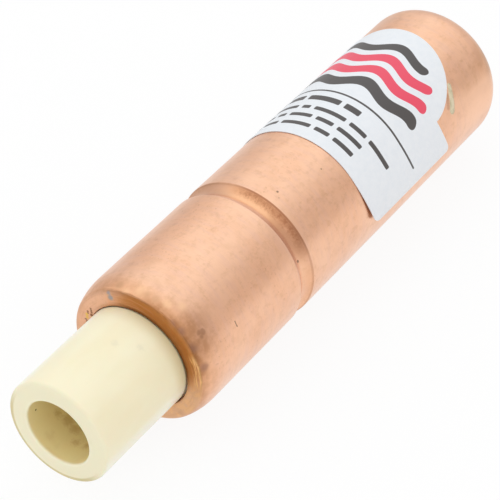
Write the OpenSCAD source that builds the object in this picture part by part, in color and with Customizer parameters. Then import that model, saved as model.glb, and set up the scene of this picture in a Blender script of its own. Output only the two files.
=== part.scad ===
// Water hammer arrestor: a copper air chamber with a sliding piston, on a plastic pipe spigot.
// The axis of the tube is X. The origin is the centre of the spigot's free end, and +Z is up.

/* [Copper body] */
// Outside diameter of the copper tube
tube_d = 22.225; // [20.5:0.005:28]
// Thickness of the copper wall
tube_wall = 1.14; // [0.8:0.02:1.4]
// Length from the rolled lip to the end of the dome
body_l = 80.75; // [76:0.25:140]
// Outside radius of the bend where the lip turns in
lip_bend_r = 0.9; // [0.5:0.05:1.2]
// Rounding of the lip's free edge
lip_edge_r = 0.3; // [0.1:0.05:0.5]
// How much larger the lip's hole is than the spigot, in radius
lip_gap = 0.06; // [0.02:0.01:0.2]
// Length of the eased shoulder behind the lip
shoulder_l = 4; // [3:0.1:5]
// Radius of the eased shoulder
shoulder_r = 10.5; // [8:0.5:16]
// Radius of the knuckle between the tube and the dome
knuckle_r = 4.5; // [3:0.1:7]
// Radius of the dome's crown
crown_r = 25; // [18:0.5:40]

/* [Rolled groove] */
// Distance from the lip to the middle of the groove
groove_at = 24.45; // [22:0.05:32]
// Width of the groove at the tube's surface
groove_w = 3.2; // [2.4:0.1:4]
// Depth of the groove
groove_depth = 0.8; // [0.5:0.05:1.1]
// Rounding of the groove's front edge
groove_front_r = 0.5; // [0.1:0.05:0.8]
// Rounding of the groove's rear edge
groove_rear_r = 0.2; // [0.1:0.05:0.8]

/* [Tailpiece] */
// Outside diameter of the spigot
spigot_d = 15.875; // [13:0.025:16.5]
// Length of the spigot in front of the lip
spigot_l = 17.25; // [12:0.25:40]
// Diameter of the water bore
bore_d = 10; // [6:0.1:11]
// Rounding of the spigot's free edge
spigot_edge_r = 0.4; // [0.1:0.05:0.8]
// How much the neck under the lip is smaller than the spigot, in radius
neck_relief = 0.3; // [0.2:0.01:0.6]
// How far in front of the lip the neck starts
neck_lead = 0.2; // [0.1:0.05:0.6]
// Radial clearance of the hub in the tube
hub_fit = 0.05; // [0.02:0.01:0.1]
// Chamfer at the inner end of the hub
hub_chamfer = 0.8; // [0.3:0.1:1.2]
// Distance from each end of the hub to the middle of its ring
hub_ring_inset = 5.5; // [5:0.1:7]

/* [Seals] */
// Thickness of a rubber ring before it is squeezed
ring_w = 2.62; // [2:0.01:2.8]
// How much a fitted ring is squeezed
ring_squeeze = 0.36; // [0.2:0.01:0.5]
// Width of the groove that holds a ring
gland_w = 3.4; // [3:0.05:3.6]
// Clearance between a fitted ring and the walls that it seals
ring_gap = 0.02; // [0.01:0.005:0.04]

/* [Piston] */
// Length of the piston
piston_l = 16; // [14:0.5:24]
// Radial clearance of the piston in the tube
piston_fit = 0.08; // [0.04:0.01:0.15]
// Gap between the piston and the bead that stops it
piston_rest_gap = 0.1; // [0.05:0.05:0.3]
// Distance from each end of the piston to the middle of its ring
piston_ring_inset = 3.6; // [3:0.1:4.5]
// Width of the land beside each ring, towards the waist
piston_land = 1.2; // [0.6:0.1:1.4]
// Depth of the waist between the rings
waist_depth = 0.7; // [0.3:0.1:1.2]
// Chamfer at both ends of the piston
piston_chamfer = 0.6; // [0.2:0.1:1]
// Diameter of the hollow towards the dome
piston_cup_d = 12; // [8:0.5:12.5]
// Depth of that hollow
piston_cup_depth = 10; // [6:0.5:12]

/* [Label] */
// Distance from the lip to the label's front edge
label_at = 39.8; // [36:0.05:45]
// Width of the label round the tube
label_w = 38.8; // [30:0.1:50]
// Length of the label's straight part along the tube
label_l = 20.6; // [12:0.1:24]
// Width of the lobe round the tube
lobe_w = 27.8; // [16:0.1:28]
// Height of the lobe
lobe_h = 9.8; // [4:0.1:10]
// How flat the lobe's flanks run out, where 1 is an ellipse
lobe_flank = 1.1; // [1:0.1:2]
// Rounding of the label's corners
label_corner_r = 1; // [0.4:0.1:3]
// Thickness of the label
label_t = 0.12; // [0.08:0.01:0.3]
// Gap under the label, for its adhesive
label_gap = 0.02; // [0.02:0.005:0.05]
// Turn of the label's middle from the top of the tube, in degrees
label_turn = 8; // [-180:1:180]
// Turn from the label's middle at which one end has come loose from the tube, in degrees
loose_from = 56; // [40:0.5:90]
// How much wider the loose end bends than the tube, in radius
loose_wider = 2.4; // [0.5:0.1:20]
// Radius of the curve in which the loose end has crept along the tube
creep_r = 22.5; // [15:0.5:200]

/* [Hidden] */
$fn = 96;
// Steps along a short arc, a long arc and a stretch of the label
arc_steps = 8;
dome_steps = 12;
lobe_steps = 48;
run_steps = 6;

copper = [0.86, 0.58, 0.45];
cream = [0.94, 0.90, 0.77];
rubber = [0.09, 0.09, 0.10];
grey = [0.55, 0.57, 0.58];
white = [0.92, 0.93, 0.95];

tube_r = tube_d / 2;
tube_bore_r = tube_r - tube_wall;
lip_x = spigot_l;
end_x = lip_x + body_l;

// Shoulder: one circle, and its offsets, from the lip's bend to the straight tube
shoulder_c = [tube_r - shoulder_r, lip_x + shoulder_l];
function shoulder_turn(off) = asin((shoulder_l - off) / (shoulder_r - off));
lip_bend_turn = shoulder_turn(lip_bend_r);
lip_bend_c = shoulder_c + (shoulder_r - lip_bend_r) * [cos(lip_bend_turn), -sin(lip_bend_turn)];

// Dome: a crown on the axis and a knuckle tangent to the crown and the tube
crown_x = end_x - crown_r;
knuckle_turn = acos((tube_r - knuckle_r) / (crown_r - knuckle_r));
knuckle_c = [tube_r - knuckle_r, crown_x + (crown_r - knuckle_r) * sin(knuckle_turn)];

// Groove: one circle outside the tube, which also gives the bead inside
groove_x = lip_x + groove_at;
groove_r = (groove_w * groove_w / 4 + groove_depth * groove_depth) / (2 * groove_depth);
groove_rise = groove_r - groove_depth;
groove_c = [tube_r + groove_rise, groove_x];
bead_r = groove_r + tube_wall;
function bead_half(r) = sqrt(bead_r * bead_r - pow(tube_r + groove_rise - r, 2));
bead_turn = acos((groove_rise + tube_wall) / bead_r);
function edge_turn(edge_r) = acos((groove_rise + edge_r) / (groove_r + edge_r));
function edge_reach(edge_r) = (groove_r + edge_r) * sin(edge_turn(edge_r));

// Tailpiece: the spigot, its neck in the lip and its hub in the tube
spigot_r = spigot_d / 2;
bore_r = bore_d / 2;
neck_r = spigot_r - neck_relief;
neck_x = lip_x - neck_lead;
lip_r = spigot_r + lip_gap;
hub_r = tube_bore_r - hub_fit;
hub_off = tube_wall + hub_fit;
hub_x = lip_x + hub_off;
hub_end_x = groove_x - bead_half(hub_r) - hub_fit;
hub_ring_front_x = hub_x + hub_ring_inset;
hub_ring_rear_x = hub_end_x - hub_ring_inset;

// Piston, at rest against the bead
piston_r = tube_bore_r - piston_fit;
piston_x = groove_x + bead_half(piston_r) + piston_rest_gap;
piston_end_x = piston_x + piston_l;
piston_ring_front_x = piston_x + piston_ring_inset;
piston_ring_rear_x = piston_end_x - piston_ring_inset;
waist_w = piston_l - 2 * piston_ring_inset - gland_w - 2 * piston_land;
gland_r = tube_bore_r - ring_w + ring_squeeze;

// Label columns, as distances round the tube from the label's middle
label_x = lip_x + label_at;
loose_s = loose_from * PI / 180 * tube_r;
loose_r = tube_r + loose_wider;
corner_s = label_w / 2 - label_corner_r;
corner_cols = [for (i = [0:arc_steps - 1]) corner_s + label_corner_r * cos(90 * i / arc_steps)];
run_cols = [for (i = [0:run_steps - 1]) corner_s + (lobe_w / 2 - corner_s) * i / run_steps];
side_cols = concat(corner_cols, run_cols);
lobe_cols = [for (i = [0:lobe_steps]) lobe_w / 2 * cos(180 * i / lobe_steps)];
far_cols = [for (i = [len(side_cols) - 1:-1:0]) -side_cols[i]];
label_cols = concat(side_cols, lobe_cols, far_cols);

// Points along an arc, as [radius, place along the axis], at angles from the outward direction
function arc(c, r, from, to, steps) =
    [for (i = [0:steps]) let (a = from + (to - from) * i / steps) c + r * [cos(a), sin(a)]];

// Outline of a groove of width w cut from r down to floor_r, with its middle at x
function notch(x, w, r, floor_r) =
    [[r, x - w / 2], [floor_r, x - w / 2], [floor_r, x + w / 2], [r, x + w / 2]];

// How far a label corner is rounded off at distance s round the tube
function corner_cut(s) =
    let (past = max(0, abs(s) - corner_s))
    label_corner_r - sqrt(max(0, label_corner_r * label_corner_r - past * past));

// Rise of the lobe at distance s round the tube
function lobe_rise(s) =
    let (u = min(1, abs(s) / (lobe_w / 2)))
    lobe_h * pow(1 - u * u, lobe_flank / 2);

// A point on the label at distance s round the tube, or along the loose end past loose_s
function label_point(s, x, r) =
    let (past = max(0, -s - loose_s))
    let (a = label_turn + (s + past) / tube_r * 180 / PI)
    let (b = a - past / loose_r * 180 / PI)
    let (crept = past * past / (2 * creep_r))
    let (reach = r + loose_wider)
    [x + crept, reach * sin(b) - loose_wider * sin(a), reach * cos(b) - loose_wider * cos(a)];

// Turns an outline of [radius, place along the axis] about the X axis
module turned() {
    rotate([0, 90, 0])
        rotate_extrude()
            children();
}

// A rubber ring at x, squeezed between a gland's floor and the tube
module o_ring(x) {
    ring_mid = (tube_bore_r + gland_r) / 2;
    ring_h = tube_bore_r - gland_r - 2 * ring_gap;
    turned()
        intersection() {
            translate([ring_mid, x])
                circle(d = ring_w);
            translate([ring_mid - ring_h / 2, x - ring_w])
                square([ring_h, 2 * ring_w]);
        }
}

// The tube with its domed end, rolled groove and rolled-in lip, all of one piece
module copper_body() {
    front_reach = edge_reach(groove_front_r);
    rear_reach = edge_reach(groove_rear_r);
    front_turn = edge_turn(groove_front_r);
    rear_turn = edge_turn(groove_rear_r);
    outside = concat(
        arc([lip_r + lip_edge_r, lip_x + lip_edge_r], lip_edge_r, -180, -90, arc_steps),
        arc(lip_bend_c, lip_bend_r, -90, -lip_bend_turn, arc_steps),
        arc(shoulder_c, shoulder_r, -lip_bend_turn, 0, arc_steps),
        arc([tube_r - groove_front_r, groove_x - front_reach], groove_front_r, 0, front_turn, arc_steps),
        arc(groove_c, groove_r, 180 + front_turn, 180 - rear_turn, dome_steps),
        arc([tube_r - groove_rear_r, groove_x + rear_reach], groove_rear_r, -rear_turn, 0, arc_steps),
        arc(knuckle_c, knuckle_r, 0, knuckle_turn, dome_steps),
        arc([0, crown_x], crown_r, knuckle_turn, 90, arc_steps));
    inside = concat(
        arc([0, crown_x], crown_r - tube_wall, 90, knuckle_turn, arc_steps),
        arc(knuckle_c, knuckle_r - tube_wall, knuckle_turn, 0, dome_steps),
        arc(groove_c, bead_r, 180 - bead_turn, 180 + bead_turn, dome_steps),
        arc(shoulder_c, shoulder_r - tube_wall, 0, -shoulder_turn(tube_wall), arc_steps),
        [[lip_r, lip_x + tube_wall]]);
    color(copper)
        turned()
            polygon(concat(outside, inside));
}

// The moulded spigot and hub, with the water bore through both
module cpvc_tailpiece() {
    outline = concat(
        [[bore_r, 0]],
        arc([spigot_r - spigot_edge_r, spigot_edge_r], spigot_edge_r, -90, 0, arc_steps),
        [[spigot_r, neck_x], [neck_r, neck_x], [neck_r, hub_x]],
        arc(shoulder_c, shoulder_r - hub_off, -shoulder_turn(hub_off), 0, arc_steps),
        notch(hub_ring_front_x, gland_w, hub_r, gland_r),
        notch(hub_ring_rear_x, gland_w, hub_r, gland_r),
        [[hub_r, hub_end_x - hub_chamfer], [hub_r - hub_chamfer, hub_end_x], [bore_r, hub_end_x]]);
    color(cream)
        turned()
            polygon(outline);
}

// The front seal of the hub
module tailpiece_o_ring_front() {
    color(rubber)
        o_ring(hub_ring_front_x);
}

// The rear seal of the hub
module tailpiece_o_ring_rear() {
    color(rubber)
        o_ring(hub_ring_rear_x);
}

// The moulded piston, hollow towards the dome
module piston() {
    cup_r = piston_cup_d / 2;
    cup_x = piston_end_x - piston_cup_depth;
    nose_r = piston_r - piston_chamfer;
    outline = concat(
        [[0, piston_x], [nose_r, piston_x], [piston_r, piston_x + piston_chamfer]],
        notch(piston_ring_front_x, gland_w, piston_r, gland_r),
        notch(piston_x + piston_l / 2, waist_w, piston_r, piston_r - waist_depth),
        notch(piston_ring_rear_x, gland_w, piston_r, gland_r),
        [[piston_r, piston_end_x - piston_chamfer], [nose_r, piston_end_x]],
        [[cup_r, piston_end_x], [cup_r, cup_x], [0, cup_x]]);
    color(grey)
        turned()
            polygon(outline);
}

// The seal of the piston on the water side
module piston_o_ring_front() {
    color(rubber)
        o_ring(piston_ring_front_x);
}

// The seal of the piston on the air side
module piston_o_ring_rear() {
    color(rubber)
        o_ring(piston_ring_rear_x);
}

// The adhesive label, a thin sheet bent round the tube, with a lobe on its rear edge and one loose end
module label() {
    inner_r = tube_r + label_gap;
    outer_r = inner_r + label_t;
    cols = len(label_cols);
    points = [for (s = label_cols)
        let (low = label_x + corner_cut(s), high = label_x + label_l - corner_cut(s) + lobe_rise(s))
        each [label_point(s, low, inner_r), label_point(s, high, inner_r),
            label_point(s, high, outer_r), label_point(s, low, outer_r)]];
    sides = [for (i = [0:cols - 2], k = [0:3])
        let (a = 4 * i + k, b = 4 * i + (k + 1) % 4)
        each [[a, b, b + 4], [a, b + 4, a + 4]]];
    last = 4 * (cols - 1);
    ends = [[3, 2, 1, 0], [last, last + 1, last + 2, last + 3]];
    color(white)
        polyhedron(points, concat(sides, ends));
}

copper_body();
cpvc_tailpiece();
tailpiece_o_ring_front();
tailpiece_o_ring_rear();
piston();
piston_o_ring_front();
piston_o_ring_rear();
label();
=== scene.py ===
import math

import bmesh
import bpy
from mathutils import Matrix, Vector, noise


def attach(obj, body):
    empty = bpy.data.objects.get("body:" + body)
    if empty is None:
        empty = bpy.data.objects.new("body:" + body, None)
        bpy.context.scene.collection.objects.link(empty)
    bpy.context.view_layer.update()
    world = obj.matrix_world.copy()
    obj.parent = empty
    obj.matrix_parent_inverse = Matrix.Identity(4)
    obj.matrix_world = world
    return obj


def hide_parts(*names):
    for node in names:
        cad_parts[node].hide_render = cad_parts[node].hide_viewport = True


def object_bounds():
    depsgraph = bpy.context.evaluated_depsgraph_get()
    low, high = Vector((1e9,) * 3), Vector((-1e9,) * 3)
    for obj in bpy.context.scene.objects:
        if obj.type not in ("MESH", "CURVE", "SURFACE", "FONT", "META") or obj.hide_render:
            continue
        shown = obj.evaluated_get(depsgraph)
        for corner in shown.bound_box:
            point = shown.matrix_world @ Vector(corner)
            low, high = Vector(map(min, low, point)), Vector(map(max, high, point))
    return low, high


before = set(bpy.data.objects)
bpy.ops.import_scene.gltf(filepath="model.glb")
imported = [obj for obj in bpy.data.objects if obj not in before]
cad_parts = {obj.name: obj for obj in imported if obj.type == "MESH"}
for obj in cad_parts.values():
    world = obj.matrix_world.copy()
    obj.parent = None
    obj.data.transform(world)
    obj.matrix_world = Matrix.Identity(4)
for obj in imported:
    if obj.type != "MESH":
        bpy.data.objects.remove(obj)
cad_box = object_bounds()


# The tailpiece: spigot and hub moulded in one from cream CPVC, with the water bore through both.
# The spigot is solvent-welded into a pipe fitting, and the hub is held in the tube by the rolled lip.
# Satin as it left the mould, with faint smudges outside and ochre staining in the bore. Painted highlight
# and painted shade lie on its sides, its cut face, the edge of its bore and beside the lip.

MM = 0.001
# The tube where it holds the hub: its lip and shoulder in front, its groove behind
TUBE_R = 11.1125
TUBE_WALL = 1.14
LIP_X = 17.25
SHOULDER_L = 4.0
SHOULDER_R = 10.5
GROOVE_X = 41.7
GROOVE_W = 3.2
GROOVE_DEPTH = 0.8
# The spigot, its bore and its neck in the lip
SPIGOT_R = 7.9375
SPIGOT_EDGE_R = 0.55
BORE_R = 5.0
BORE_EDGE_R = 0.25
NECK_R = 7.6375
NECK_LEAD = 0.06
# The hub and the grooves of its two rings
HUB_FIT = 0.05
HUB_CHAMFER = 0.8
HUB_RING_INSET = 5.5
GLAND_W = 3.4
GLAND_DEPTH = 2.26
TAILPIECE_SIDES = 192
TAILPIECE_STEP = 1.0
ON_AXIS = 1e-6
SHARP_EDGE = math.radians(35)


def arc(centre, radius, start, end, steps):
    """Points (x, r) along an arc, at angles in degrees from the outward direction towards +X."""
    angles = [math.radians(start + (end - start) * i / steps) for i in range(steps + 1)]
    return [(centre[0] + radius * math.sin(a), centre[1] + radius * math.cos(a)) for a in angles]


def filled(outline, step):
    """The outline with its long straight runs divided into steps."""
    points = []
    for here, after in zip(outline, outline[1:]):
        count = max(1, round(math.dist(here, after) / step))
        points += [tuple(a + (b - a) * i / count for a, b in zip(here, after)) for i in range(count)]
    return points + [outline[-1]]


def shoulder_turn(inset):
    """Degrees of the shoulder's arc, on the surface that lies inset mm inside the tube's."""
    return math.degrees(math.asin((SHOULDER_L - inset) / (SHOULDER_R - inset)))


def notch(x, width, r, floor_r):
    """Outline of a square groove cut from r down to floor_r."""
    half = width / 2
    return [(x - half, r), (x - half, floor_r), (x + half, floor_r), (x + half, r)]


def placed(name, mesh):
    """An object of the mesh in the scene, shaded smooth but for its sharp edges."""
    mesh.polygons.foreach_set("use_smooth", [True] * len(mesh.polygons))
    mesh.set_sharp_from_angle(angle=SHARP_EDGE)
    piece = bpy.data.objects.new(name, mesh)
    bpy.context.scene.collection.objects.link(piece)
    return piece


def lathe(name, outline, sides, shift=None):
    """A piece turned about the X axis from a closed outline of (x, r); shift may move each point."""
    work = bmesh.new()
    rings = []
    for x, r in outline:
        if r < ON_AXIS:
            rings.append([work.verts.new((x * MM, 0, 0))] * sides)
            continue
        ring = []
        for k in range(sides):
            turn = 2 * math.pi * k / sides
            px, pr = shift(x, r, turn) if shift else (x, r)
            point = (px * MM, pr * math.sin(turn) * MM, pr * math.cos(turn) * MM)
            ring.append(work.verts.new(point))
        rings.append(ring)
    for low, high in zip(rings, rings[1:] + rings[:1]):
        for k in range(sides):
            n = (k + 1) % sides
            corners = list(dict.fromkeys([low[k], low[n], high[n], high[k]]))
            if len(corners) > 2:
                work.faces.new(corners)
    bmesh.ops.recalc_face_normals(work, faces=work.faces)
    mesh = bpy.data.meshes.new(name)
    work.to_mesh(mesh)
    work.free()
    return placed(name, mesh)


def round_axis(x, r, degrees):
    """The point at x along the axis and r out from it, at an angle from straight up towards +Y."""
    turn = math.radians(degrees)
    return x, r * math.sin(turn), r * math.cos(turn)


class Wire:
    """A socket of a node tree. Arithmetic on it adds Math nodes, and node() adds any other kind."""

    def __init__(self, tree, socket=None):
        self.tree = tree
        self.socket = socket

    def node(self, kind, settings, inputs, out=0):
        made = self.tree.nodes.new(kind)
        for key, value in settings.items():
            setattr(made, key, value)
        for key, value in inputs.items():
            if isinstance(value, Wire):
                self.tree.links.new(value.socket, made.inputs[key])
            else:
                made.inputs[key].default_value = value
        return Wire(self.tree, made.outputs[out])

    def math(self, operation, first, second=0.0):
        return self.node("ShaderNodeMath", {"operation": operation}, {0: first, 1: second})

    def __add__(self, other):
        return self.math("ADD", self, other)

    def __radd__(self, other):
        return self.math("ADD", other, self)

    def __sub__(self, other):
        return self.math("SUBTRACT", self, other)

    def __rsub__(self, other):
        return self.math("SUBTRACT", other, self)

    def __mul__(self, other):
        return self.math("MULTIPLY", self, other)

    def __rmul__(self, other):
        return self.math("MULTIPLY", other, self)

    def __truediv__(self, other):
        return self.math("DIVIDE", self, other)

    def __rtruediv__(self, other):
        return self.math("DIVIDE", other, self)

    def __abs__(self):
        return self.math("ABSOLUTE", self)

    def root(self):
        return self.math("SQRT", self)

    def sine(self):
        return self.math("SINE", self)

    def most(self, other):
        return self.math("MAXIMUM", self, other)

    def ease(self, low, high):
        """0 at low, 1 at high and a smooth step between; low may be the greater of the two."""
        settings = {"interpolation_type": "SMOOTHSTEP"}
        return self.node("ShaderNodeMapRange", settings, {0: self, 1: low, 2: high, 3: 0.0, 4: 1.0})

    def tint(self, under, over):
        """Colour under where this mask is 0, and over where it is 1."""
        return self.node("ShaderNodeMix", {"data_type": "RGBA"}, {0: self, 6: under, 7: over}, out=2)

    def parts(self):
        """The x, y and z of a vector."""
        return [self.node("ShaderNodeSeparateXYZ", {}, {0: self}, out=k) for k in range(3)]

    def vector(self, operation, *others, out=0):
        """Vector Math on this vector and others; out 0 is a vector, and out 1 a number."""
        inputs = dict(enumerate((self, *others)))
        return self.node("ShaderNodeVectorMath", {"operation": operation}, inputs, out)

    def stretched(self, along, across):
        """A place multiplied along the tube and across it."""
        return self.vector("MULTIPLY", (along, across, across))

    def cloud(self, scale, detail=2.0, rough=0.5):
        """Noise about 0.5 at this place."""
        inputs = {"Vector": self, "Scale": scale, "Detail": detail, "Roughness": rough}
        return self.node("ShaderNodeTexNoise", {}, inputs)

    def radius(self):
        """Distance of this place from the axis."""
        return self.stretched(0.0, 1.0).vector("LENGTH", out=1)

    def facing(self, degrees):
        """Cosine of the angle round the axis between this place and a direction."""
        return self.vector("DOT_PRODUCT", round_axis(0.0, 1.0, degrees), out=1) / self.radius()

    def spots(self, marks, blur, uneven=0.0):
        """1 on marks, each given by its place along and out from the axis, degrees round it and size."""
        mask = 0.0
        for x, r, degrees, size in marks:
            away = self.vector("DISTANCE", round_axis(x, r, degrees), out=1)
            mask = (away + uneven).ease(size + blur, size - blur).most(mask)
        return mask

    def bump(self, strength, depth_mm):
        """The shading normal of a relief with this height."""
        inputs = {"Strength": strength, "Distance": depth_mm * MM, "Height": self}
        return self.node("ShaderNodeBump", {}, inputs)


def rgb(red, green, blue):
    """A linear colour from the 0 to 255 values of a picture."""
    shares = [v / 255 for v in (red, green, blue)]
    return tuple(s / 12.92 if s <= 0.04045 else ((s + 0.055) / 1.055) ** 2.4 for s in shares) + (1.0,)


def finish(name):
    """A new material, the place in mm to build its nodes on, and its shader's sockets."""
    material = bpy.data.materials.new(name)
    material.use_nodes = True
    here = Wire(material.node_tree).node("ShaderNodeTexCoord", {}, {}, out=3)
    place = here.node("ShaderNodeVectorMath", {"operation": "SCALE"}, {0: here, "Scale": 1 / MM})
    return material, place, material.node_tree.nodes["Principled BSDF"].inputs


def feed(shader, **sockets):
    """Sets or links a shader's sockets, named with underscores for spaces."""
    for key, value in sockets.items():
        socket = shader[key.replace("_", " ")]
        if isinstance(value, Wire):
            value.tree.links.new(value.socket, socket)
        else:
            socket.default_value = value


tube_bore_r = TUBE_R - TUBE_WALL
hub_r = tube_bore_r - HUB_FIT
gland_r = tube_bore_r - GLAND_DEPTH
# The groove is one circle outside the tube, which also gives the bead inside
groove_r = (GROOVE_W**2 / 4 + GROOVE_DEPTH**2) / (2 * GROOVE_DEPTH)
groove_c = (GROOVE_X, TUBE_R + groove_r - GROOVE_DEPTH)
bead_r = groove_r + TUBE_WALL
neck_x = LIP_X - NECK_LEAD
hub_inset = TUBE_WALL + HUB_FIT
hub_x = LIP_X + hub_inset
hub_end_x = GROOVE_X - math.sqrt(bead_r**2 - (groove_c[1] - hub_r) ** 2) - HUB_FIT
shoulder_c = (LIP_X + SHOULDER_L, TUBE_R - SHOULDER_R)
tailpiece_outline = (
    arc((BORE_EDGE_R, BORE_R + BORE_EDGE_R), BORE_EDGE_R, -180, -90, 4)
    + arc((SPIGOT_EDGE_R, SPIGOT_R - SPIGOT_EDGE_R), SPIGOT_EDGE_R, -90, 0, 8)
    + [(neck_x, SPIGOT_R), (neck_x, NECK_R), (hub_x, NECK_R)]
    + arc(shoulder_c, SHOULDER_R - hub_inset, -shoulder_turn(hub_inset), 0, 8)
    + notch(hub_x + HUB_RING_INSET, GLAND_W, hub_r, gland_r)
    + notch(hub_end_x - HUB_RING_INSET, GLAND_W, hub_r, gland_r)
    + [(hub_end_x - HUB_CHAMFER, hub_r), (hub_end_x, hub_r - HUB_CHAMFER), (hub_end_x, BORE_R)]
)
tailpiece = lathe("tailpiece_moulding", filled(tailpiece_outline, TAILPIECE_STEP), TAILPIECE_SIDES)

CREAM = rgb(252, 243, 211)
CREAM_DEEP = rgb(248, 237, 201)
# A painted highlight for both sides
CREAM_LIT = rgb(255, 252, 236)
# Painted shade on the cut face, and a painted highlight round the bore
CUT_FACE_SHADE = rgb(248, 241, 209)
BORE_EDGE_GLINT = rgb(255, 249, 221)
RIM_OCHRE = rgb(200, 180, 106)
LIP_SHADE = rgb(214, 196, 140)
SMUDGE = rgb(190, 184, 158)
BORE_CREAM = rgb(240, 222, 162)
BORE_STAIN = rgb(200, 164, 100)
BORE_SPECK = rgb(112, 96, 52)
# Marks as place along the axis, radius, degrees round it and size
OUTSIDE_SMUDGES = [(11.1, SPIGOT_R, -9, 0.45), (13.1, SPIGOT_R, -29, 0.45)]
BORE_STAINS = [
    (5.1, BORE_R, 126, 0.5),
    (5.7, BORE_R, 144, 0.8),
    (5.4, BORE_R, 161, 0.7),
    (3.8, BORE_R, 178, 0.5),
    (4.0, BORE_R, -163, 0.6),
]
BORE_SPECKS = [(1.9, BORE_R, 91, 0.14)]

cream, place, shader = finish("cream_cpvc")
along = place.parts()[0]
radius = place.radius()
flow = place.stretched(0.06, 0.16).cloud(1.0, 3.0)
grain = place.cloud(3.0, 3.0)
uneven = (grain - 0.5) * 1.2

# Outside: a painted highlight down both sides, smudged, and painted shade where it meets the lip
lit_sides = place.facing(-118).ease(0.88, 0.99).most(place.facing(60).ease(0.88, 0.99))
scuffs = place.stretched(0.7, 5.0).cloud(1.0, 3.0).ease(0.68, 0.82)
smudges = (place.spots(OUTSIDE_SMUDGES, 0.4, uneven) * 0.14).most(scuffs * 0.08)
by_lip = (along - LIP_X).ease(-2.65, -0.25) * (0.15 + place.facing(-45).ease(0.5, 0.95) * 0.3)
outside = (lit_sides * 0.7).tint(flow.ease(0.35, 0.7).tint(CREAM, CREAM_DEEP), CREAM_LIT)

# The cut face at the free end, a little darker as painted shade, with a painted highlight round the bore
# and an ochre edge below
cut_face = along.ease(0.5, 0.0)
bore_edge_glint = radius.ease(BORE_R + 0.4, BORE_R + 0.2) * (0.3 + place.facing(-45).ease(-0.2, 0.6) * 0.4)
outer_edge = radius.ease(SPIGOT_R - 0.9, SPIGOT_R - 0.6) * along.ease(0.6, 0.3)
outside = cut_face.tint(outside, CUT_FACE_SHADE)
outside = (bore_edge_glint * cut_face).tint(outside, BORE_EDGE_GLINT)
outside = by_lip.tint(smudges.tint(outside, SMUDGE), LIP_SHADE)
outside = (outer_edge * place.facing(150).ease(-0.1, 0.5) * 0.6).tint(outside, RIM_OCHRE)

# The bore
in_bore = radius.ease(BORE_R + 0.15, BORE_R + 0.02) * along.ease(0.05, 0.6)
clouding = place.cloud(0.35, 4.0, 0.6).ease(0.5, 0.72)
stains = (place.spots(BORE_STAINS, 0.5, uneven) * 0.55).most(clouding * 0.2)
inside = stains.tint(BORE_CREAM, BORE_STAIN)
inside = place.spots(BORE_SPECKS, 0.06, uneven * 0.1).tint(inside, BORE_SPECK)

feed(
    shader,
    Base_Color=in_bore.tint(outside, inside),
    Roughness=0.36 + flow * 0.12 + smudges * 0.5 + cut_face * 0.15,
    Normal=(grain * 0.6 + flow).bump(0.2, 0.04),
    Subsurface_Weight=0.12,
    Subsurface_Scale=0.8 * MM,
)
tailpiece.data.materials.append(cream)
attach(tailpiece, "chamber")
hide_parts("cpvc_tailpiece")


# The tailpiece's two seals: black rubber rings, squeezed between the hub's grooves and the tube.
# They come over from the construction as they are, and get a dull rubber with a trace of bloom.

RUBBER = rgb(24, 24, 26)
BLOOM = rgb(52, 52, 55)


def dress(node, material):
    """Gives a construction node that is shown as it is its material."""
    node.data.materials.clear()
    node.data.materials.append(material)


rubber, place, shader = finish("seal_rubber")
bloom = place.cloud(0.7, 4.0, 0.6)
feed(
    shader,
    Base_Color=bloom.ease(0.45, 0.75).tint(RUBBER, BLOOM),
    Roughness=0.42 + bloom * 0.3,
    Normal=place.cloud(9.0, 2.0).bump(0.3, 0.02),
)
dress(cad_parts["tailpiece_o_ring_front"], rubber)
dress(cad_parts["tailpiece_o_ring_rear"], rubber)


# The piston: one grey acetal moulding that slides in the tube, hollow towards the air charge.
# Its skirt is polished in rings by the tube, and the ends keep the dull skin of the mould.

ACETAL = rgb(146, 149, 152)
ACETAL_RUBBED = rgb(170, 172, 174)
# Radii between which the rubbed skin of the skirt begins
SKIRT_R = (9.7, 9.85)

acetal, place, shader = finish("piston_acetal")
rings = place.stretched(6.0, 0.1).cloud(1.0, 2.0)
rubbed = place.radius().ease(*SKIRT_R) * rings.ease(0.35, 0.65)
feed(
    shader,
    Base_Color=rubbed.tint(ACETAL, ACETAL_RUBBED),
    Roughness=0.5 - rubbed * 0.2,
    Normal=(place.cloud(2.5, 3.0) + rings * 0.5).bump(0.2, 0.03),
)
dress(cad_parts["piston"], acetal)


# The piston's two seals: rubber rings like the tailpiece's, greased for sliding.
# Grease makes them darker and far glossier than the dry ones.

GREASED = rgb(16, 16, 17)
GREASE = rgb(38, 37, 34)

greased, place, shader = finish("greased_rubber")
film = place.cloud(0.5, 3.0)
feed(
    shader,
    Base_Color=film.ease(0.4, 0.7).tint(GREASED, GREASE),
    Roughness=0.18 + film * 0.25,
    Normal=place.cloud(4.0, 2.0).bump(0.2, 0.02),
)
dress(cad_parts["piston_o_ring_front"], greased)
dress(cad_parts["piston_o_ring_rear"], greased)


# The copper body: one length of copper tube, spun shut to a dome behind, with a groove rolled into it
# and its front end rolled in over the hub. Bare copper, brushed round the tube; the rolled lip and the
# groove are browned from forming, and the lip is dinged and nicked. Painted shade and painted highlights
# lie on the shoulder, the lip, the groove and the dome.

BODY_END_X = 98.0
LIP_BEND_R = 0.9
LIP_EDGE_R = 0.16
LIP_GAP = 0.06
KNUCKLE_R = 4.5
CROWN_R = 25.0
GROOVE_FRONT_R = 0.3
GROOVE_REAR_R = 0.2
BODY_SIDES = 320
BODY_STEP = 0.5
BODY_INSIDE_STEP = 4.0
# The tube's waviness: its depth, and how fast it goes round and along
WAVINESS = 0.025
WAVES_ROUND = 1.6
WAVES_ALONG = 0.09
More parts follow.
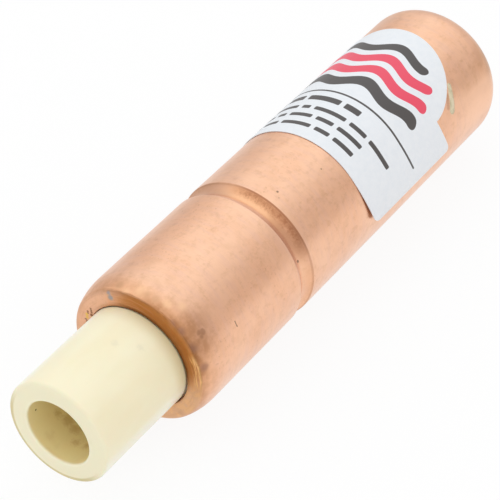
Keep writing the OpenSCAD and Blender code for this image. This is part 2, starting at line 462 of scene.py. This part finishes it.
# The lip's uneven front: its depth, how far along it fades, and how fast it goes round and outward
LIP_WANDER = 0.05
WANDER_FADE = 1.5
WANDER_ROUND = 2.7
WANDER_OUT = 0.4
WANDER_START = Vector((7.0, 0.0, 3.0))
# Where the lip's hole stands open round the spigot, by how much, how far out and how narrowly
GAPE_TURN = math.radians(-112)
GAPE_OPEN = 0.2
GAPE_REACH = 0.6
GAPE_NARROW = 12
# Dents as place along the axis, radius, degrees round the tube, size and depth
DENTS = [
    (17.3, 10.0, 26, 0.35, 0.10),
    (17.3, 9.35, 25, 0.45, 0.15),
    (17.25, 8.4, 62, 0.35, 0.16),
    (17.25, 8.7, 76, 0.30, 0.14),
    (19.9, 11.0, -53, 0.45, 0.05),
    (25.8, 11.1, -66, 0.30, 0.05),
]

lip_r = SPIGOT_R + LIP_GAP
bend_turn = shoulder_turn(LIP_BEND_R)
bend_c = arc(shoulder_c, SHOULDER_R - LIP_BEND_R, -bend_turn, 0, 1)[0]
crown_c = (BODY_END_X - CROWN_R, 0)
knuckle_turn = math.degrees(math.acos((TUBE_R - KNUCKLE_R) / (CROWN_R - KNUCKLE_R)))
knuckle_c = arc(crown_c, CROWN_R - KNUCKLE_R, knuckle_turn, 0, 1)[0]
bead_turn = math.degrees(math.acos((groove_r - GROOVE_DEPTH + TUBE_WALL) / bead_r))


def groove_edge(edge_r, end):
    """The middle of a groove edge's rounding, and the angle at which it meets the groove."""
    turn = math.acos((groove_r - GROOVE_DEPTH + edge_r) / (groove_r + edge_r))
    return (GROOVE_X + end * (groove_r + edge_r) * math.sin(turn), TUBE_R - edge_r), math.degrees(turn)


def worn(x, r, turn):
    """A point of the outside moved in by the tube's waviness, the uneven lip and the dents."""
    ring = Vector((math.sin(turn), math.cos(turn), 0.0))
    wave = noise.noise(ring * WAVES_ROUND + Vector((0, 0, x * WAVES_ALONG))) * 0.5 + 0.5
    wander_at = ring * WANDER_ROUND + WANDER_START + Vector((0, r * WANDER_OUT, 0))
    wander = noise.noise(wander_at) * 0.5 + 0.5
    lip = max(0.0, 1.0 - (x - LIP_X) / WANDER_FADE)
    rim = max(0.0, 1.0 - (r - lip_r) / GAPE_REACH) * lip
    gape = max(0.0, math.cos(turn - GAPE_TURN)) ** GAPE_NARROW
    move_x = lip * LIP_WANDER * wander
    move_r = GAPE_OPEN * rim * gape - WAVINESS * wave
    here = Vector((x, r * ring.x, r * ring.y))
    for dent_x, dent_r, degrees, size, depth in DENTS:
        away = (here - Vector(round_axis(dent_x, dent_r, degrees))).length / size
        push = depth * math.exp(-away * away)
        move_x += push * lip
        move_r -= push * (1 - lip)
    return x + move_x, r + move_r


front_c, front_turn = groove_edge(GROOVE_FRONT_R, -1)
rear_c, rear_turn = groove_edge(GROOVE_REAR_R, 1)
body_outside = filled(
    arc((LIP_X + LIP_EDGE_R, lip_r + LIP_EDGE_R), LIP_EDGE_R, -180, -90, 8)
    + arc(bend_c, LIP_BEND_R, -90, -bend_turn, 12)
    + arc(shoulder_c, SHOULDER_R, -bend_turn, 0, 16)
    + arc(front_c, GROOVE_FRONT_R, 0, front_turn, 8)
    + arc(groove_c, groove_r, 180 + front_turn, 180 - rear_turn, 20)
    + arc(rear_c, GROOVE_REAR_R, -rear_turn, 0, 8)
    + arc(knuckle_c, KNUCKLE_R, 0, knuckle_turn, 18)
    + arc(crown_c, CROWN_R, knuckle_turn, 90, 14),
    BODY_STEP,
)
body_inside = filled(
    arc(crown_c, CROWN_R - TUBE_WALL, 90, knuckle_turn, 8)
    + arc(knuckle_c, KNUCKLE_R - TUBE_WALL, knuckle_turn, 0, 10)
    + arc(groove_c, bead_r, 180 - bead_turn, 180 + bead_turn, 12)
    + arc(shoulder_c, SHOULDER_R - TUBE_WALL, 0, -shoulder_turn(TUBE_WALL), 8)
    + [(LIP_X + TUBE_WALL, lip_r)],
    BODY_INSIDE_STEP,
)
outside_points = set(body_outside)
body = lathe(
    "copper_chamber",
    body_outside + body_inside,
    BODY_SIDES,
    lambda x, r, turn: worn(x, r, turn) if (x, r) in outside_points else (x, r),
)

# Bare copper and its tarnish, with the painted highlight and painted shade of the dome
COPPER = (0.95, 0.575, 0.385, 1.0)
COPPER_DEEP = (0.92, 0.53, 0.34, 1.0)
COPPER_ROSE = (0.86, 0.52, 0.39, 1.0)
COPPER_HIGHLIGHT = (1.0, 0.62, 0.42, 1.0)
TARNISH_AND_SHADE = (0.64, 0.36, 0.20, 1.0)
BROWNED = (0.40, 0.20, 0.11, 1.0)
# The shoulder behind the lip, with its painted shade and painted highlights
SHOULDER_GOLD = (0.82, 0.41, 0.205, 1.0)
SHADE_BROWN = (0.42, 0.18, 0.072, 1.0)
PLUM = (0.34, 0.16, 0.10, 1.0)
HIGHLIGHT_GOLD = (1.0, 0.63, 0.37, 1.0)
# The rolled lip, its browning, its painted shade and painted light, and its nicks
LIP_ORANGE = (0.54, 0.22, 0.065, 1.0)
LIP_TAN = (0.74, 0.44, 0.24, 1.0)
LIP_GOLD = (0.90, 0.53, 0.23, 1.0)
LIP_DARK = (0.20, 0.075, 0.025, 1.0)
NICK_BRASS = (0.86, 0.54, 0.13, 1.0)
STEEL_SMEAR = (0.36, 0.37, 0.40, 1.0)
# The groove, with its tarnish, soil and painted shade, and painted light on its front wall
GROOVE_GOLD = (0.95, 0.51, 0.27, 1.0)
GROOVE_BROWN = (0.62, 0.29, 0.155, 1.0)
GROOVE_SOIL_AND_SHADE = (0.38, 0.15, 0.07, 1.0)
GROOVE_DULL = (0.66, 0.38, 0.25, 1.0)
GROOVE_FRONT = (0.90, 0.61, 0.46, 1.0)
# Specks, and the sliver of dried residue beside the label
SPECK = (0.16, 0.09, 0.05, 1.0)
RESIDUE = rgb(224, 211, 180)
RESIDUE_DULL = rgb(200, 190, 155)


def on_tube(marks):
    """Marks on the tube's skin, each given by its place along the axis, degrees round it and size."""
    return [(x, TUBE_R - WAVINESS / 2, degrees, size) for x, degrees, size in marks]


def on_lip_front(marks):
    """Marks on the lip's front, each given by its radius, degrees round it and size."""
    return [(LIP_X + LIP_WANDER, r, degrees, size) for r, degrees, size in marks]


# Marks as place along the axis, radius, degrees round it and size; the functions above fill in one
PLUM_SPOTS = [
    (17.75, 10.45, -57, 0.65),
    (18.2, 10.65, -75, 0.6),
    (17.5, 10.3, -34, 0.5),
    (17.65, 10.45, -42, 0.6),
    (17.25, 9.5, -134, 0.4),
    (17.25, 9.4, -103, 0.4),
]
FAINT_SPOTS = [(18.45, 10.75, 18, 0.55), (18.5, 10.75, -6, 0.4), (18.6, 10.75, -13, 0.5)]
# Painted highlights on the shoulder
HIGHLIGHT_SPOTS = [
    (17.7, 10.45, 10, 0.5),
    (18.4, 10.7, 0, 0.7),
    (19.0, 10.85, -21, 0.5),
    (20.2, 11.05, -30, 0.5),
]
SCAB = [(19.65, 11.0, -50.9, 0.3), (20.1, 11.05, -52.5, 0.42), (19.65, 11.0, -54.3, 0.28)]
DING = on_lip_front([(10.05, 26, 0.3), (9.75, 25.5, 0.2), (9.35, 25.8, 0.38)])
LONG_NICK = [(8.85, 57.5, 0.16), (8.65, 59.0, 0.19), (8.45, 61.0, 0.21), (8.25, 64.0, 0.22)]
SHORT_NICKS = [(8.95, 63.5, 0.14), (8.8, 65.0, 0.12)]
REAR_NICK = [(8.75, 74.5, 0.19), (8.5, 76.5, 0.22), (8.25, 76.5, 0.22)]
NICKS = on_lip_front(LONG_NICK + SHORT_NICKS + REAR_NICK)
NICK_GOLD = on_lip_front([(8.85, 67.5, 0.26), (8.65, 70.5, 0.24)])
TICK = on_tube([(25.76 + 0.01 * i, -63.6 - 0.8 * i, 0.11) for i in range(6)])
GROOVE_SPECK = [(41.5, 10.3, -68, 0.22)]
SPECKS = on_tube([(45.65, -18, 0.16), (54.0, -28, 0.12), (44.9, -22, 0.06)]) + GROOVE_SPECK
# Painted shade on the dome
DOME_SHADE = [(94.6, 10.2, -54, 2.2), (96.4, 8.6, -60, 2.0)]
RESIDUE_RUN = on_tube([(84.0 - 0.17 * i, -50 - 1.7 * i, 0.4 + 0.02 * i) for i in range(11)])
RESIDUE_EDGE = on_tube([(82.6 - 0.2 * i, -55 - 1.6 * i, 0.3) for i in range(6)])
# Where the dome's colours fade in along the axis
DOME_FADE = (83.0, 88.0)

copper, place, shader = finish("brushed_copper")
along = place.parts()[0]
radius = place.radius()
behind_lip = along - LIP_X
near_dome = along.ease(*DOME_FADE)
hairlines = place.stretched(7.0, 0.35).cloud(1.0, 3.0, 0.6)
streaks = place.stretched(1.1, 0.3).cloud(1.0, 4.0, 0.6)
patches = place.cloud(0.13, 4.0, 0.55)
smears = place.cloud(0.85, 5.0, 0.65)
clouding = place.cloud(0.4, 4.0, 0.6)
swell = place.stretched(0.1, 0.2).cloud(1.0, 2.0)
mottle = place.cloud(0.8, 5.0, 0.6)
grain = place.cloud(6.0, 2.0)
uneven = mottle - 0.5

# Bare copper, brushed, smeared and freckled with tarnish
colour = patches.ease(0.36, 0.66).tint(COPPER, COPPER_DEEP)
colour = (streaks.ease(0.42, 0.72) * 0.5).tint(colour, COPPER_ROSE)
smeared = (smears.ease(0.46, 0.74) * 0.38).most(clouding.ease(0.5, 0.7) * 0.2)
colour = smeared.tint(colour, TARNISH_AND_SHADE)
colour = ((hairlines - 0.5) * 0.35).most(0.0).tint(colour, BROWNED)
freckles = place.cloud(2.6, 3.0, 0.6).ease(0.58, 0.72) * patches.ease(0.48, 0.62)
colour = (freckles * (1.0 - near_dome) * 0.3).tint(colour, BROWNED)

# The shoulder, golden and tarnished towards the lip, with plum patches and a brown painted shade on one
# side, and painted highlights
on_lip = (behind_lip + uneven * 0.45).ease(0.45, 0.17)
past_lip = 1.0 - on_lip * 0.8
underside = place.facing(-135).ease(0.6, 0.8)
tarnish = mottle.ease(0.36, 0.66) * behind_lip.ease(5.25, 0.65) * past_lip
side_shade_front = behind_lip.ease(1.65, 0.25) * place.facing(-48).ease(0.62, 0.97).most(underside * 0.35)
side_shade_tail = behind_lip.ease(6.75, 1.25) * place.facing(-52).ease(0.93, 0.985)
side_shade = (side_shade_front * 0.9).most(side_shade_tail * 0.52) * (0.72 + mottle.ease(0.35, 0.6) * 0.4)
plum = place.spots(PLUM_SPOTS, 0.45, uneven)
colour = (behind_lip.ease(3.75, 0.35) * past_lip * 0.6).tint(colour, SHOULDER_GOLD)
colour = (tarnish * 0.35).tint(colour, TARNISH_AND_SHADE)
colour = (place.spots(HIGHLIGHT_SPOTS, 0.5, uneven) * 0.5).tint(colour, HIGHLIGHT_GOLD)
colour = side_shade.tint(colour, SHADE_BROWN)
colour = (place.spots(FAINT_SPOTS, 0.4, uneven) * 0.6).tint(colour, TARNISH_AND_SHADE)
colour = (plum * 0.7).tint(colour, PLUM)

# The lip: tan and gold, strongest below as painted light from the floor, with painted glints there;
# orange browning all round, deepened on one side as painted shade; painted shade along its edge and fold
lip_shade_side = place.facing(-37).ease(0.33, 0.82)
lip_scale = {0: radius * 5.0, 1: place.facing(0) * 2.5, 2: place.facing(90) * 2.5}
lip_lines = place.node("ShaderNodeCombineXYZ", {}, lip_scale).cloud(1.0, 4.0, 0.6)
tan = (mottle.ease(0.44, 0.58) * 0.6).tint(LIP_TAN, LIP_GOLD)
colour = (on_lip * (0.1 + underside * 0.65)).tint(colour, tan)
colour = (on_lip * lip_shade_side * (0.6 + lip_lines.ease(0.3, 0.6) * 0.4)).tint(colour, LIP_ORANGE)
colour = (on_lip * lip_lines.ease(0.5, 0.7) * 0.18).tint(colour, LIP_ORANGE)
lip_glint = place.facing(-78).ease(0.95, 0.99) * radius.ease(9.0, 9.6)
colour = (on_lip * lip_glint * lip_lines.ease(0.44, 0.52) * 0.9).tint(colour, LIP_GOLD)
lip_edge = radius.ease(lip_r + 0.9, lip_r + 0.15) * on_lip
lip_edge_shade = lip_edge * (0.1 + lip_shade_side * (0.25 + lip_lines.ease(0.4, 0.62) * 0.4))
lip_fold_shade = abs(behind_lip + uneven * 0.35 - 0.3).ease(0.16, 0.03) * lip_shade_side * lip_lines.ease(0.35, 0.6)
colour = lip_edge_shade.most(lip_fold_shade * 0.45).tint(colour, LIP_DARK)
colour = (place.spots(DING, 0.2, uneven * 0.3) * 0.85).tint(colour, STEEL_SMEAR)
colour = place.spots(NICK_GOLD, 0.12).tint(colour, NICK_BRASS)
colour = (place.spots(NICKS, 0.1, uneven * 0.12) * 0.85).tint(colour, LIP_DARK)

# The groove, golden on top, brown on one side with tarnish and painted shade, and dull on the other, with
# dirt and painted shade on its rear wall and a line of painted shade along its rear edge
groove_at = along - GROOVE_X
in_groove = abs(groove_at).ease(GROOVE_W / 2 + 0.15, GROOVE_W / 2 - 0.25)
rear_wall_noise = place.cloud(2.4, 5.0, 0.7)
front_wall = groove_at.ease(-0.3, -0.8) * groove_at.ease(-1.9, -1.5)
rear_wall = (groove_at + (rear_wall_noise - 0.5)).ease(0.1, 1.3) * in_groove
gold_side = place.facing(-10).ease(0.82, 0.96)
brown_shade_side = place.facing(-48).ease(0.89, 0.99)
dull_side = place.facing(38).ease(0.8, 0.97)
soil_and_shade_side = place.facing(-27).ease(0.74, 0.94)
colour = (in_groove * (0.2 + gold_side * 0.6)).tint(colour, GROOVE_GOLD)
colour = (in_groove * dull_side * 0.5).tint(colour, GROOVE_DULL)
# The front wall tinted pale grey-pink as painted light
colour = (front_wall * 0.9).tint(colour, GROOVE_FRONT)
colour = (in_groove * brown_shade_side * 0.6).tint(colour, GROOVE_BROWN)
rear_soil_and_shade = rear_wall * (0.5 + rear_wall_noise.ease(0.35, 0.65) * 0.3) * soil_and_shade_side
rear_edge_shade = abs(groove_at - GROOVE_W / 2 + 0.03).ease(0.2, 0.05) * (0.32 + soil_and_shade_side * 0.5)
colour = rear_soil_and_shade.most(rear_edge_shade).tint(colour, GROOVE_SOIL_AND_SHADE)

# The dome, with a painted highlight on one side and painted shade above it
colour = (near_dome * place.facing(-82).ease(0.94, 0.985) * 0.7).tint(colour, COPPER_HIGHLIGHT)
colour = (near_dome * place.facing(-58).ease(0.983, 0.996) * 0.25).tint(colour, TARNISH_AND_SHADE)
colour = (place.spots(DOME_SHADE, 1.6, uneven) * 0.5).tint(colour, TARNISH_AND_SHADE)

# Scab, specks and residue
scab = place.spots(SCAB, 0.2, uneven * 0.9)
specks = place.spots(TICK + SPECKS, 0.06, uneven * 0.1)
residue = place.spots(RESIDUE_RUN, 0.12, uneven * 0.35)
colour = (scab * 0.65).tint(colour, BROWNED)
colour = (specks * 0.8).tint(colour, SPECK)
colour = (place.spots(RESIDUE_EDGE, 0.2, uneven * 0.3) * 0.4).tint(colour, BROWNED)
colour = residue.tint(colour, mottle.ease(0.4, 0.62).tint(RESIDUE, RESIDUE_DULL))

dulled = (tarnish * 0.1).most(on_lip * 0.16).most(rear_wall * 0.15)
dulled = dulled.most(front_wall * 0.3).most(residue * 0.3)
relief = swell * 9.0 + mottle * 0.8 + hairlines * 0.35 + grain * 0.25 + residue * 8.0
feed(
    shader,
    Base_Color=colour,
    Metallic=1.0 - (plum * 0.3).most(specks * 0.6).most(residue),
    Roughness=0.26 + hairlines * 0.08 + dulled,
    Normal=relief.bump(1.0, 0.01),
)
body.data.materials.append(copper)
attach(body, "chamber")
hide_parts("copper_body")


# The label: coated white paper with a lobe on its rear edge, stuck round the tube behind the groove.
# One end has come loose and stands off. The print is two inks, red and dark grey: waves in the lobe,
# a thin rule and rows of bars.

LABEL_X = 57.05
LABEL_W = 38.8
LABEL_L = 20.6
LOBE_W = 27.8
LOBE_H = 9.8
LOBE_FLANK = 1.1
LABEL_CORNER_R = 1.0
LABEL_T = 0.115
LABEL_GAP = 0.02
LABEL_TURN = math.radians(8.0)
# The loose end: how far round from the middle it starts, how much wider it bends and how it creeps
LOOSE_S = math.radians(56.0) * TUBE_R
LOOSE_WIDER = 2.4
CREEP_R = 22.5
LABEL_ROWS = 24
EDGE_COLS = 8
LOBE_COLS = 96


def label_ends(s):
    """Where the label starts and ends along the axis, at s mm round it from its middle."""
    past = max(0.0, abs(s) - LABEL_W / 2 + LABEL_CORNER_R)
    cut = LABEL_CORNER_R - math.sqrt(max(0.0, LABEL_CORNER_R**2 - past**2))
    rise = LOBE_H * max(0.0, 1 - (2 * s / LOBE_W) ** 2) ** (LOBE_FLANK / 2)
    return LABEL_X + cut, LABEL_X + LABEL_L - cut + rise


def label_point(s, x, r):
    """A point on the label at distance s round the tube, or along the wider bend of the loose end."""
    past = max(0.0, -s - LOOSE_S)
    a = LABEL_TURN + (s + past) / TUBE_R
    b = a - past / (TUBE_R + LOOSE_WIDER)
    reach = r + LOOSE_WIDER
    y = reach * math.sin(b) - LOOSE_WIDER * math.sin(a)
    z = reach * math.cos(b) - LOOSE_WIDER * math.cos(a)
    return (x + past * past / (2 * CREEP_R)) * MM, y * MM, z * MM


corner_s = LABEL_W / 2 - LABEL_CORNER_R
corner_turns = [math.pi / 2 * i / EDGE_COLS for i in range(EDGE_COLS)]
half_cols = [corner_s + LABEL_CORNER_R * math.cos(turn) for turn in corner_turns]
half_cols += [corner_s + (LOBE_W / 2 - corner_s) * i / EDGE_COLS for i in range(EDGE_COLS)]
lobe_cols = [LOBE_W / 2 * math.cos(math.pi * i / LOBE_COLS) for i in range(LOBE_COLS + 1)]
cols = half_cols + lobe_cols + [-s for s in half_cols[::-1]]
corners, prints = [], []
for r in (TUBE_R + LABEL_GAP, TUBE_R + LABEL_GAP + LABEL_T):
    for s in cols:
        low, high = label_ends(s)
        for k in range(LABEL_ROWS + 1):
            x = low + (high - low) * k / LABEL_ROWS
            corners.append(label_point(s, x, r))
            prints.append((-s, x - LABEL_X))
step = LABEL_ROWS + 1
sheet = len(cols) * step
under = [
    (c * step + k, c * step + k + 1, (c + 1) * step + k + 1, (c + 1) * step + k)
    for c in range(len(cols) - 1)
    for k in range(LABEL_ROWS)
]
over = [tuple(v + sheet for v in face[::-1]) for face in under]
label_rim = (
    [c * step for c in range(len(cols))]
    + [(len(cols) - 1) * step + k for k in range(1, step)]
    + [c * step + LABEL_ROWS for c in range(len(cols) - 2, -1, -1)]
    + list(range(LABEL_ROWS - 1, 0, -1))
)
edge = [(a, b, b + sheet, a + sheet) for a, b in zip(label_rim, label_rim[1:] + label_rim[:1])]
label_mesh = bpy.data.meshes.new("printed_label")
label_mesh.from_pydata(corners, [], under + over + edge)
layout = label_mesh.uv_layers.new(name="print")
for loop in label_mesh.loops:
    layout.data[loop.index].uv = prints[loop.vertex_index]
glued = [1] * len(under) + [0] * (len(over) + len(edge))
label_mesh.polygons.foreach_set("material_index", glued)
label = placed("printed_label", label_mesh)

PAPER = rgb(238, 241, 245)
PAPER_COOL = rgb(234, 238, 243)
INK_GREY = rgb(80, 75, 74)
INK_RED = rgb(238, 78, 103)
GLUE = rgb(236, 232, 218)
INK_SOFT = 0.03
INK_RAGGED = 0.06
WAVE_HEIGHT = 0.75
WAVE_LENGTH = 8.6
# Waves in the lobe as height on the label, half width, half length and ink
WAVES = [
    (15.3, 1.15, 12.2, "grey"),
    (18.7, 1.0, 11.6, "red"),
    (22.0, 1.0, 10.2, "red"),
    (25.2, 0.9, 7.8, "grey"),
]
# The rule's height on the label, half width, half length and corners
RULE_AT = 11.67
RULE_HALF = 0.19
RULE_REACH = 16.9
RULE_CORNER_R = 0.1
# Rows of bars as height on the label, half width, where the row starts and the lengths of its bars
ROWS = [
    (9.6, 0.6, -12.8, [4.6, 3.2, 5.4, 2.6]),
    (7.0, 0.42, -15.2, [3.4, 2.0, 4.6, 1.4, 5.2, 3.0, 4.8]),
    (4.9, 0.42, -14.6, [2.2, 4.8, 1.6, 3.8, 2.8, 4.4]),
    (2.7, 0.42, -15.0, [4.2, 1.8, 3.0, 4.9, 2.4, 3.6]),
]
BAR_GAP = 0.75
BAR_CORNER_R = 0.2

paper, place, shader = finish("printed_paper")
across, height, _ = place.node("ShaderNodeTexCoord", {}, {}, out=2).parts()
fibre = place.cloud(1.1, 4.0, 0.6)
ragged = (place.cloud(9.0, 2.0) - 0.5) * INK_RAGGED


def bar(rise, half, start, end, corner):
    """1 inside a bar with rounded corners that lies half mm to either side of where rise is 0."""
    over_end = (abs(across - (start + end) / 2) - (end - start) / 2 + corner).most(0.0)
    over_side = (abs(rise) - half + corner).most(0.0)
    away = (over_side * over_side + over_end * over_end).root() + ragged
    return away.ease(corner + INK_SOFT, corner - INK_SOFT)


wave = (across * (2 * math.pi / WAVE_LENGTH)).sine() * WAVE_HEIGHT
inks = {"grey": bar(height - RULE_AT, RULE_HALF, -RULE_REACH, RULE_REACH, RULE_CORNER_R), "red": 0.0}
for middle, half, reach, ink in WAVES:
    inks[ink] = bar(height - middle - wave, half, -reach, reach, half).most(inks[ink])
for middle, half, start, lengths in ROWS:
    for length in lengths:
        inks["grey"] = inks["grey"].most(bar(height - middle, half, start, start + length, BAR_CORNER_R))
        start += length + BAR_GAP
printed = inks["grey"].most(inks["red"])
colour = fibre.ease(0.35, 0.7).tint(PAPER, PAPER_COOL)
colour = inks["red"].tint(colour, INK_RED)
feed(
    shader,
    Base_Color=inks["grey"].tint(colour, INK_GREY),
    Roughness=0.42 + fibre * 0.12 - printed * 0.08,
    Normal=(fibre * 0.3 + place.cloud(12.0, 2.0) * 0.3 + printed * 0.1).bump(0.1, 0.03),
)
label.data.materials.append(paper)

glue, place, shader = finish("label_glue")
torn = place.cloud(1.4, 4.0, 0.6)
feed(
    shader,
    Base_Color=torn.ease(0.4, 0.65).tint(GLUE, PAPER_COOL),
    Roughness=0.3 + torn * 0.3,
    Normal=torn.bump(0.3, 0.05),
)
label.data.materials.append(glue)
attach(label, "chamber")
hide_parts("label")


# The stage: a white floor under the tube that keeps a faint shadow, and the light of a white tent.
# The tent is brightest overhead, towards the key; in front it is dim low down and bright high up.
# Reflections show the floor a little darker far behind the tube and past its dome.

WHITE = (1.0, 1.0, 1.0, 1.0)
FLOOR_SIZE = 6.0
FLOOR_TONE = (0.97, 0.97, 0.97, 1.0)
FLOOR_SEEN = 0.9
# The darker floor, and where it fades in: behind the tube, and past its dome
FLOOR_FAR = (0.80, 0.80, 0.80, 1.0)
FAR_BEHIND_Y = (30.0, 80.0)
FAR_DOME_X = (105.0, 140.0)
FAR_DOME_Y = (-95.0, -50.0)
KEY_TOWARD = Vector((0.5, 0.25, 0.83)).normalized()
# Tent brightness by the cosine of the angle from the key
TENT = [
    (0.0, (0.77, 0.74, 0.72, 1.0)),
    (0.52, (0.75, 0.72, 0.70, 1.0)),
    (0.72, (0.87, 0.86, 0.85, 1.0)),
    (0.86, (1.0, 1.02, 1.03, 1.0)),
    (0.95, (1.12, 1.17, 1.2, 1.0)),
]
# The tent's front: where it fades in towards -X, and its brightness from low to high
TENT_FRONT_X = (0.4, -0.35)
TENT_FRONT_Z = (0.0, 0.65)
TENT_FRONT_LOW = (0.50, 0.49, 0.48, 1.0)
TENT_FRONT_HIGH = (1.14, 1.14, 1.14, 1.0)
CAMERA_AT = Vector((-0.15172, -0.13232, 0.20370))
CAMERA_AIM = Vector((0.044462, 0.000317, -0.000964))
LENS = 160.1
SENSOR = 36.0
CLIP_START = 0.01

floor_half = FLOOR_SIZE / 2
floor_z = cad_box[0].z
floor_corners = [
    (-floor_half, -floor_half, floor_z),
    (floor_half, -floor_half, floor_z),
    (floor_half, floor_half, floor_z),
    (-floor_half, floor_half, floor_z),
]
floor_mesh = bpy.data.meshes.new("floor")
floor_mesh.from_pydata(floor_corners, [], [(0, 1, 2, 3)])
floor = bpy.data.objects.new("floor", floor_mesh)
bpy.context.scene.collection.objects.link(floor)

white, place, shader = finish("floor_white")
feed(shader, Base_Color=FLOOR_TONE, Roughness=0.9, Specular_IOR_Level=0.0)
camera_ray, glossy_ray, through_ray = [place.node("ShaderNodeLightPath", {}, {}, out=k) for k in (0, 3, 6)]
seen = (camera_ray * FLOOR_SEEN).most(glossy_ray).most(through_ray)
floor_x, floor_y, _ = place.parts()
past_dome = floor_x.ease(*FAR_DOME_X) * floor_y.ease(*FAR_DOME_Y)
near = camera_ray.most(1.0 - floor_y.ease(*FAR_BEHIND_Y).most(past_dome))
glow = place.node("ShaderNodeEmission", {}, {"Color": near.tint(FLOOR_FAR, WHITE), "Strength": 1.0})
lit = Wire(place.tree, place.tree.nodes["Principled BSDF"].outputs[0])
both = place.node("ShaderNodeMixShader", {}, {0: seen, 1: lit, 2: glow})
place.tree.links.new(both.socket, place.tree.nodes["Material Output"].inputs["Surface"])
floor.data.materials.append(white)

world = bpy.data.worlds.new("tent")
bpy.context.scene.world = world
world.use_nodes = True
toward_sky = Wire(world.node_tree).node("ShaderNodeTexCoord", {}, {}, out=0)
key = toward_sky.vector("DOT_PRODUCT", KEY_TOWARD, out=1)
sky_x, _, sky_z = toward_sky.parts()
tone = TENT[0][1]
for (start, _), (end, brighter) in zip(TENT, TENT[1:]):
    tone = key.ease(start, end).tint(tone, brighter)
tent_front = sky_z.ease(*TENT_FRONT_Z).tint(TENT_FRONT_LOW, TENT_FRONT_HIGH)
tent = sky_x.ease(*TENT_FRONT_X).tint(tone, tent_front)
straight = tent.node("ShaderNodeLightPath", {}, {}, out=0)
feed(world.node_tree.nodes["Background"].inputs, Color=straight.tint(tent, WHITE), Strength=1.0)

camera_data = bpy.data.cameras.new("camera")
camera_data.lens = LENS
camera_data.sensor_width = SENSOR
camera_data.clip_start = CLIP_START
camera = bpy.data.objects.new("camera", camera_data)
camera.location = CAMERA_AT
camera.rotation_mode = "QUATERNION"
camera.rotation_quaternion = (CAMERA_AIM - CAMERA_AT).to_track_quat("-Z", "Y")
bpy.context.scene.collection.objects.link(camera)
bpy.context.scene.camera = camera
bpy.context.scene.view_settings.view_transform = "Standard"
